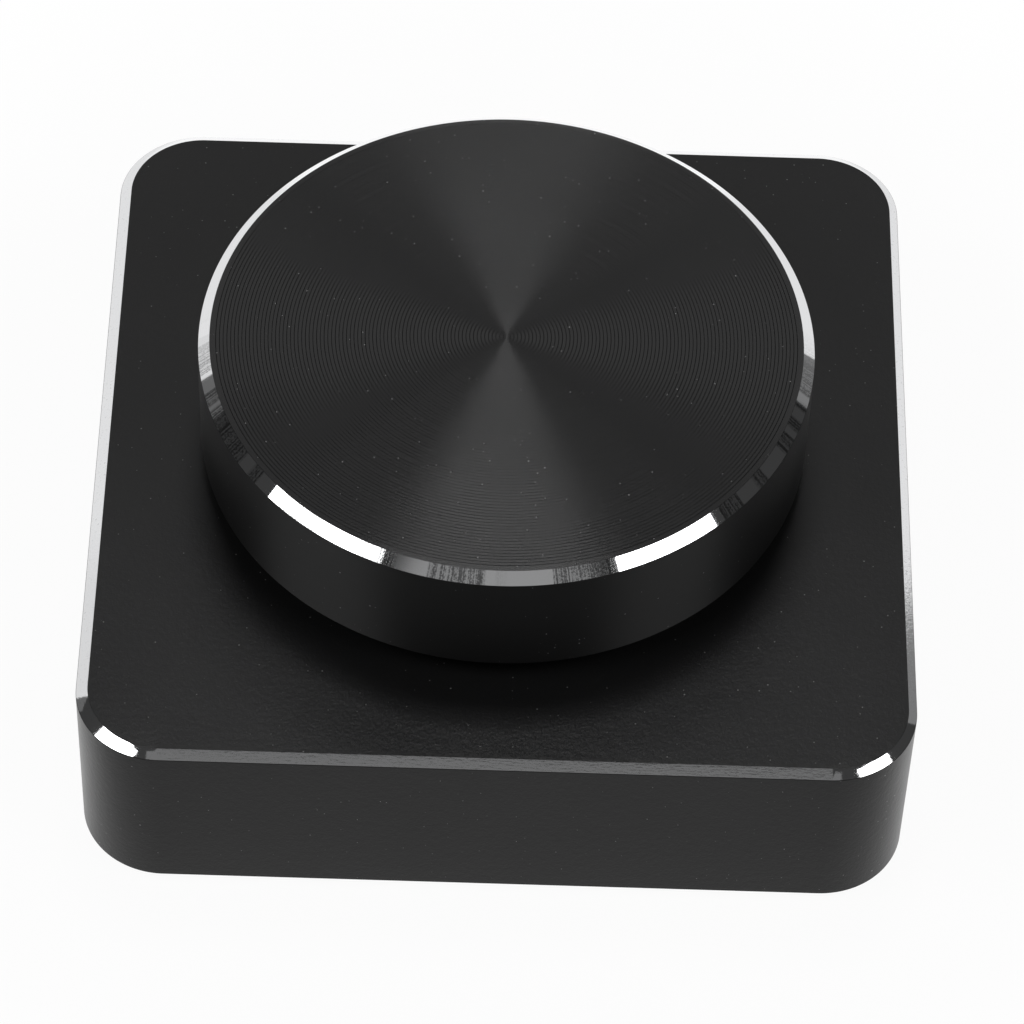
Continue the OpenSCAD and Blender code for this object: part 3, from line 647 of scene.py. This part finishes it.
# ---- Stage ----


# Lamps aim at the knob from an azimuth, from the front to the left, and an elevation, in degrees. Those
# without a distance stand at the setting's. A level of 1 looks as bright as white. roll is in degrees.
LAMPS = {
    "left_box": dict(azimuth=65.6, elevation=45.6, width=0.515, height=0.355, level=4.6, roll=7),
    "right_box": dict(azimuth=-62, elevation=44.4, width=0.44, height=0.286, level=5.0, roll=-19),
    "top_box": dict(azimuth=180, elevation=74, width=0.25, height=0.2, level=11.0),
    "back_card": dict(azimuth=180, elevation=46, distance=1.2, width=1.8, height=0.4, level=0.6),
    "ring_card": dict(azimuth=0, elevation=46, distance=1.6, width=2.1, height=0.3, level=0.24),
    "edge_card": dict(azimuth=3, elevation=60, distance=1.6, width=0.7, height=0.2, level=0.12),
}
# Each sheet's left and right end, in degrees from straight behind the knob, and its level in reflections.
BACKDROP = {
    "backdrop": (-24, 24, 1.0),
    "left_side": (-51, -24, 0.8),
    "right_side": (24, 51.5, 0.8),
    "left_wing": (-61, -51, 0.72),
    "left_end": (-71, -61, 0.13),
    "right_wing": (51.5, 63, 0.19),
}
BACKDROP_TOP = 27  # its height as an angle seen from the middle of the floor, in degrees
FLOOR_FADE = (0.045, 0.08)  # distances between which the floor's look rises to plain white
FLOOR_HEIGHT = -0.02 * MM  # just under the pad, so that the two never share a plane
KNOB_MIDDLE = 20 * MM  # the height that the lamps aim at


def link(name, data):
    """Puts new data into the scene as an object."""
    thing = bpy.data.objects.new(name, data)
    bpy.context.scene.collection.objects.link(thing)
    return thing


def lamp(name, azimuth, elevation, distance, width, height, level, roll=0):
    """A soft box or card that faces the knob, unseen by the camera."""
    azimuth, elevation = np.radians(azimuth), np.radians(elevation)
    out = np.cos(elevation)
    way = Vector((-np.sin(azimuth) * out, -np.cos(azimuth) * out, np.sin(elevation)))
    data = bpy.data.lights.new(name, "AREA")
    data.shape = "RECTANGLE"
    data.size, data.size_y = width, height
    data.energy = level * np.pi * width * height
    thing = link(name, data)
    thing.location = Vector((0, 0, KNOB_MIDDLE)) + distance * way
    turn = way.to_track_quat("Z", "Y").to_matrix() @ Matrix.Rotation(np.radians(roll), 3, "Z")
    thing.rotation_euler = turn.to_euler()
    thing.visible_camera = False


def stage_material(name, white, mirrored, fade=None):
    """Pale paint that looks white to the camera and has a level of its own in reflections.

    white is how much of its look is plain white, and the rest takes the shadow. fade holds two distances,
    between which white rises to all of it. mirrored is the level in reflections: a number, or a function
    that makes it in the material's tree. From behind the camera sees through it, to the underside.
    """
    material = bpy.data.materials.new(name)
    tree = new_tree(material)
    paint = add(tree, "BsdfDiffuse", {"Color": (0.9, 0.9, 0.9, 1)}).outputs[0]
    path = add(tree, "LightPath").outputs
    mirrored = mirrored(tree) if callable(mirrored) else mirrored
    level = blend_value(tree, path["Is Camera Ray"], mirrored, 1.0)
    glow = add(tree, "Emission", {"Color": (1, 1, 1, 1), "Strength": level}).outputs[0]
    seen = calc(tree, "MAXIMUM", path["Is Camera Ray"], path["Is Glossy Ray"])
    seen = calc(tree, "MAXIMUM", seen, path["Is Transmission Ray"])
    if fade:
        white = spread(tree, length(tree, place(tree)), *fade, out_low=white)
    glowing = calc(tree, "MULTIPLY", seen, white)
    mix = add(tree, "MixShader", {0: glowing, 1: paint, 2: glow}).outputs[0]
    underside = add(tree, "NewGeometry").outputs["Backfacing"]
    behind = calc(tree, "MULTIPLY", underside, path["Is Camera Ray"])
    clear = add(tree, "BsdfTransparent").outputs[0]
    surface = add(tree, "MixShader", {0: behind, 1: mix, 2: clear}).outputs[0]
    add(tree, "OutputMaterial", {"Surface": surface})
    return material


def floor_level(tree):
    """How bright the floor looks in reflections.

    Straight behind the knob it is brightest. Elsewhere it is bright close round the base, though less so
    in front, where the lower level is painted shade for the base's shadow, and dim further out. These levels
    are painted light and shade on the floor's glow. facing is the cosine of a point's angle from straight
    behind.
    """
    # painted light and shade on the floor's glow: the level in front of the base is painted shade
    painted_shade_before_knob, beside_straight, far_out = 0.6, 0.8, 0.28
    point = place(tree)
    away = length(tree, point)
    back = part(tree, point, "Y")
    facing = calc(tree, "DIVIDE", back, away)
    near = spread(tree, back, low=-0.035, high=-0.02, out_low=painted_shade_before_knob)
    around = blend_value(tree, spread(tree, away, low=0.05, high=0.062), near, far_out)
    behind = spread(tree, facing, low=0.89, high=0.93, out_low=beside_straight)
    return blend_value(tree, spread(tree, facing, low=0.42, high=0.55), around, behind)


def sheet_mesh(name, points):
    """A mesh from an open grid of points (rows, columns, 3)."""
    rows, columns = points.shape[:2]
    row, column = np.meshgrid(np.arange(rows - 1), np.arange(columns - 1), indexing="ij")
    corner = (row * columns + column).reshape(-1, 1)
    mesh = bpy.data.meshes.new(name)
    mesh.from_pydata(points.reshape(-1, 3), [], corner + np.array([[0, 1, columns + 1, columns]]))
    mesh.shade_smooth()
    return mesh


class OBJECT_OT_desk_knob_stage(bpy.types.Operator):
    """Make the camera, the lamps, the white floor and the backdrop"""

    bl_idname = "object.desk_knob_stage"
    bl_label = "Stage"

    def execute(self, context):
        scene = context.scene
        settings = scene.desk_knob_stage
        data = bpy.data.cameras.new("camera")
        data.lens = settings.lens
        data.sensor_width = 36
        data.shift_x, data.shift_y = settings.camera_shift
        data.clip_start = 0.01
        camera = link("camera", data)
        camera.location = settings.camera_place
        camera.rotation_euler = settings.camera_turn
        scene.camera = camera
        scene.view_settings.view_transform = "Standard"
        self.make_world(scene, settings)
        self.make_floor(settings)
        self.make_backdrop(settings)
        for name, values in LAMPS.items():
            lamp(name, **{"distance": settings.lamp_distance, **values})
        return {"FINISHED"}

    def make_world(self, scene, settings):
        """Even dim light all round, and plain white where the camera sees past the floor."""
        world = bpy.data.worlds.new("room")
        tree = new_tree(world)
        seen = add(tree, "LightPath").outputs["Is Camera Ray"]
        level = blend_value(tree, seen, settings.room, 1.0)
        light = add(tree, "Background", {"Color": (1, 1, 1, 1), "Strength": level}).outputs[0]
        add(tree, "OutputWorld", {"Surface": light})
        scene.world = world

    def make_floor(self, settings):
        """The white sheet under the knob, which runs back to the backdrop.

        At angle a from straight behind, its point a share t out is (r t^2 sin a, r t^2 cos a). r is the
        sheet's reach in front, and goes over to the backdrop's distance at 68 to 60 degrees from behind.
        """
        columns, rows = 144, 24
        opening, soft = np.radians(112), np.radians(8)
        front, back = settings.sheet_reach, settings.backdrop_distance
        angle = np.linspace(0, TAU, columns + 1)
        behind = np.clip((np.abs(angle - np.pi) - opening) / soft, 0, 1)
        reach = front + (back - front) * behind**2 * (3 - 2 * behind)
        out = np.linspace(0, 1, rows + 1)[:, None] ** 2 * reach
        points = (out * np.sin(angle), out * np.cos(angle), np.full(out.shape, FLOOR_HEIGHT))
        floor = link("floor", sheet_mesh("floor", np.stack(points, -1)))
        paint = stage_material("floor_paint", settings.floor_white, floor_level, FLOOR_FADE)
        floor.data.materials.append(paint)

    def make_backdrop(self, settings):
        """Upright arcs round the knob's back, each at its own level in reflections."""
        columns, rows = 32, 4
        away = settings.backdrop_distance
        rise = np.tan(np.radians(BACKDROP_TOP)) * away
        for name, (left, right, level) in BACKDROP.items():
            angle, height = np.meshgrid(
                np.radians(np.linspace(left, right, columns + 1)), np.linspace(0, rise, rows + 1)
            )
            arc = np.stack((away * np.sin(angle), away * np.cos(angle), height), -1)
            sheet = link(name, sheet_mesh(name, arc))
            sheet.data.materials.append(stage_material(name + "_paint", 1.0, level))


# ---- Pieces ----


class OBJECT_OT_turned_knob(bpy.types.Operator):
    """Make the turned knob with its bright ring"""

    bl_idname = "object.turned_knob"
    bl_label = "Turned Knob"

    def execute(self, context):
        sizes = context.scene.desk_knob_sizes
        low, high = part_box("knob_cap")
        radius = high.x
        inner = radius - sizes.wall
        ceiling = high.z - sizes.top
        foot_cut = 0.2 * MM
        grooved = radius - 1.5 * sizes.ring_in
        corners = [
            (grooved, high.z),
            (radius - sizes.ring_in, high.z),
            (radius, high.z - sizes.ring_drop),
            (radius, low.z + foot_cut),
            (radius - foot_cut, low.z),
            (inner, low.z),
            (inner, ceiling),
            (0, ceiling),
        ]
        steps = 6
        outside, normals = rounded_corners(corners, sizes.edge, steps)
        grooves = self.grooves(grooved, high.z, sizes)
        profile = np.concatenate((grooves, outside))
        flat = flat_normals(profile[: len(grooves) + 1])
        starts = np.concatenate((flat, normals[:-1]))
        ends = np.concatenate((flat, normals[1:]))
        marks = np.zeros(len(profile) - 1)
        marks[len(grooves) + steps + 1] = 1
        mesh = lathe("turned_knob", profile, starts, ends, sizes.columns, marks)
        new_piece("turned_knob", mesh, "knob", "turned_black_metal", "knob_cap")
        return {"FINISHED"}

    def grooves(self, reach, height, sizes):
        """Profile of the turned top: in each pitch a flat land and then a V groove.

        The deepest are half their width times the tangent of their tilt deep, and the others vary by a
        share, in waves across the top.
        """
        varied, beat = 0.15, 2.4
        count = int(reach / sizes.pitch)
        step = np.arange(count)
        start = reach - (count - step) * sizes.pitch
        fullness = 1 - varied + varied * np.sin(beat * step)
        deep = height - sizes.groove / 2 * np.tan(sizes.groove_tilt) * fullness
        land = start + sizes.pitch - sizes.groove
        level = np.full(count, height)
        across = np.stack((start, land, land + sizes.groove / 2), 1)
        points = np.stack((across, np.stack((level, level, deep), 1)), -1).reshape(-1, 2)
        points[0, 0] = 0
        return points


class OBJECT_OT_machined_base(bpy.types.Operator):
    """Make the machined base with its bright edge cut, its hollow and the socket's slot"""

    bl_idname = "object.machined_base"
    bl_label = "Machined Base"

    def execute(self, context):
        sizes = context.scene.desk_base_sizes
        low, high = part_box("base_housing")
        plate_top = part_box("bottom_plate")[1].z
        width, depth = high.x - low.x, high.y - low.y
        side_columns = 12
        outline, outward = rounded_square(
            width, depth, sizes.corner, sizes.corner_columns, side_columns
        )
        lip, flat_in = 0.12 * MM, 3 * MM
        corners = [
            (-flat_in, high.z),
            (-sizes.edge_in, high.z),
            (0, high.z - sizes.edge_drop),
            (0, low.z + lip),
            (-lip, low.z),
            (-sizes.rim, low.z),
            (-sizes.rim, plate_top),
        ]
        steps = 5
        uneven = sizes.cut_shift / sizes.edge_in
        sides = []
        for factor in (1 - uneven, 1 + uneven):
            profile = rounded_corners(self.widened(corners, high.z, factor), sizes.edge, steps)[0]
            sides.append(self.carried(profile, outline, outward))
        small, large = sides
        skin_points = small + (large - small) * (0.5 - 0.5 * outward[:, :1])
        angle = np.arctan2(outline[:, 1], outline[:, 0])
        hollow = self.hollow(angle, width / 2 - sizes.wall, sizes)
        hole = sizes.hole / 2 * np.stack((np.cos(angle), np.sin(angle)), -1)
        ceiling = high.z - sizes.top
        inside = [(hollow, plate_top), (hollow, ceiling), (hole, ceiling), (hole, high.z)]
        inner = [np.concatenate((plan, np.full((len(plan), 1), z)), 1) for plan, z in inside]
        points = np.concatenate((skin_points, np.stack(inner)))
        marks = np.zeros(len(points))
        marks[1 + steps] = 1
        mesh = skin("machined_base", points, closed=True, marks=marks)
        sharp = np.radians(32)
        mesh.set_sharp_from_angle(angle=sharp)
        piece = new_piece("machined_base", mesh, "base", "blasted_black_metal", "base_housing")
        self.cut_slot(piece, sizes, high.y)
        self.add_posts(piece, sizes, ceiling)
        weights = piece.modifiers.new("even_shading", "WEIGHTED_NORMAL")
        weights.keep_sharp = True
        weights.weight = 90
        return {"FINISHED"}

    def widened(self, corners, top, factor):
        """The profile's corners with the edge cut's reach in and down times a factor."""
        changed = np.array(corners)
        changed[1, 0] *= factor
        changed[2, 1] = top - (top - changed[2, 1]) * factor
        return changed

    def carried(self, profile, outline, outward):
        """The profile (out, z) carried round the outline: each point is moved out along its normal."""
        plan = outline[None] + profile[:, None, :1] * outward[None]
        return np.concatenate((plan, np.repeat(profile[:, None, 1:], len(outline), 1)), -1)

    def hollow(self, angle, half, sizes):
        """Inner wall's plan in polar form: the square wall, or the corner boss where that is nearer.

        A ray at angle a meets the wall at half / max(|cos a|, |sin a|), and the boss where its distance to
        the boss's middle is the boss's radius.
        """
        x, y = np.abs(np.cos(angle)), np.abs(np.sin(angle))
        wall = half / np.maximum(x, y)
        middle = (half + sizes.wall - sizes.boss_in) * np.ones(2)
        along = x * middle[0] + y * middle[1]
        gap = middle @ middle - sizes.boss**2
        inside = along**2 - gap
        boss = np.where(inside > 0, along - np.sqrt(np.maximum(inside, 0)), wall)
        radius = np.minimum(wall, boss)
        return radius[:, None] * np.stack((np.cos(angle), np.sin(angle)), -1)

    def add_posts(self, piece, sizes, ceiling):
        """Joins the board's four posts to the base: drilled cylinders, set into the top wall.

        They are on the board screws' axes, which are a head's radius inside the box of the screws.
        """
        columns = 48
        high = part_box("board_screws")[1]
        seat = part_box("main_board")[1].z
        x, y = high.x - sizes.head, high.y - sizes.head
        drilled = high.z + 0.5 * MM
        set_in = ceiling + 0.2 * MM
        profile = np.array([
            (0, set_in),
            (sizes.post, set_in),
            (sizes.post, seat),
            (sizes.pilot, seat),
            (sizes.pilot, drilled),
            (0, drilled),
        ])
        flat = flat_normals(profile)
        posts = []
        for post_x, post_y in ((x, y), (-x, y), (-x, -y), (x, -y)):
            mesh = lathe("board_post", profile, flat, flat, columns, np.zeros(len(flat)))
            mesh.transform(Matrix.Translation((post_x, post_y, 0)))
            posts.append(link("board_post", mesh))
        with bpy.context.temp_override(active_object=piece, selected_editable_objects=[piece, *posts]):
            bpy.ops.object.join()

    def cut_slot(self, piece, sizes, back):
        """Cuts the socket's long hole through the back wall, with a small flare at its mouth."""
        low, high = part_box("usb_socket_shell")
        width = high.x - low.x + 2 * sizes.slot_gap
        tall = width - sizes.socket_flat
        centre = socket_height()
        count = 32
        angle = np.concatenate(
            (np.linspace(-np.pi / 2, np.pi / 2, count), np.linspace(np.pi / 2, 3 * np.pi / 2, count))
        )
        shift = np.repeat([1, -1], count) * (width - tall) / 2
        flare, past = 0.12 * MM, 1 * MM
        rows = []
        for grow, y in ((0, back - sizes.wall - past), (0, back - flare), (flare + past, back + past)):
            radius = tall / 2 + grow
            plan = (shift + radius * np.cos(angle), np.full(2 * count, y), centre + radius * np.sin(angle))
            rows.append(np.stack(plan, -1))
        middle = [np.repeat(row.mean(0, keepdims=True), 2 * count, 0) for row in (rows[0], rows[-1])]
        mesh = skin("slot_cutter", np.stack([middle[0], *rows, middle[1]]), poles=(True, True))
        cutter = link("slot_cutter", mesh)
        cutting = piece.modifiers.new("slot", "BOOLEAN")
        cutting.operation = "DIFFERENCE"
        cutting.solver = "EXACT"
        cutting.object = cutter
        with bpy.context.temp_override(object=piece, active_object=piece, selected_objects=[piece]):
            bpy.ops.object.modifier_apply(modifier="slot")
        bpy.data.objects.remove(cutter)


def socket_height():
    """Height of the socket's middle, from its tongue, whose block fills the shell."""
    low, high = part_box("usb_socket_tongue")
    return (low.z + high.z) / 2


class OBJECT_OT_finish_inner_parts(bpy.types.Operator):
    """Give every other piece its finish"""

    bl_idname = "object.finish_inner_parts"
    bl_label = "Finish Inner Parts"

    def execute(self, context):
        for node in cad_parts.values():
            if not node.hide_render:
                for slot in node.material_slots:
                    slot.material = finish(slot.material.name)
        return {"FINISHED"}


class VIEW3D_PT_desk_knob(bpy.types.Panel):
    """Sidebar panel of the desk knob"""

    bl_label = "Desk Knob"
    bl_idname = "VIEW3D_PT_desk_knob"
    bl_space_type = "VIEW_3D"
    bl_region_type = "UI"
    bl_category = "Desk Knob"

    def draw(self, context):
        for step in STEPS:
            self.layout.operator(step.bl_idname)
        for group in SETTINGS:
            box = self.layout.box()
            for name in SETTINGS[group].__annotations__:
                box.prop(getattr(context.scene, group), name)


STEPS = (
    OBJECT_OT_desk_knob_stage,
    OBJECT_OT_turned_knob,
    OBJECT_OT_machined_base,
    OBJECT_OT_finish_inner_parts,
)
SETTINGS = {
    "desk_knob_sizes": KnobSizes,
    "desk_base_sizes": BaseSizes,
    "desk_knob_finish": FinishSettings,
    "desk_knob_stage": StageSettings,
}


def register():
    for made in (*SETTINGS.values(), *STEPS, VIEW3D_PT_desk_knob):
        bpy.utils.register_class(made)
    for name, made in SETTINGS.items():
        setattr(bpy.types.Scene, name, PointerProperty(type=made))


def unregister():
    for name in SETTINGS:
        delattr(bpy.types.Scene, name)
    for made in reversed((*SETTINGS.values(), *STEPS, VIEW3D_PT_desk_knob)):
        bpy.utils.unregister_class(made)


def main():
    """Registers the classes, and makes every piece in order."""
    register()
    bpy.ops.object.desk_knob_stage()
    bpy.ops.object.turned_knob()
    bpy.ops.object.machined_base()
    bpy.ops.object.finish_inner_parts()


if __name__ == "__main__":
    main()
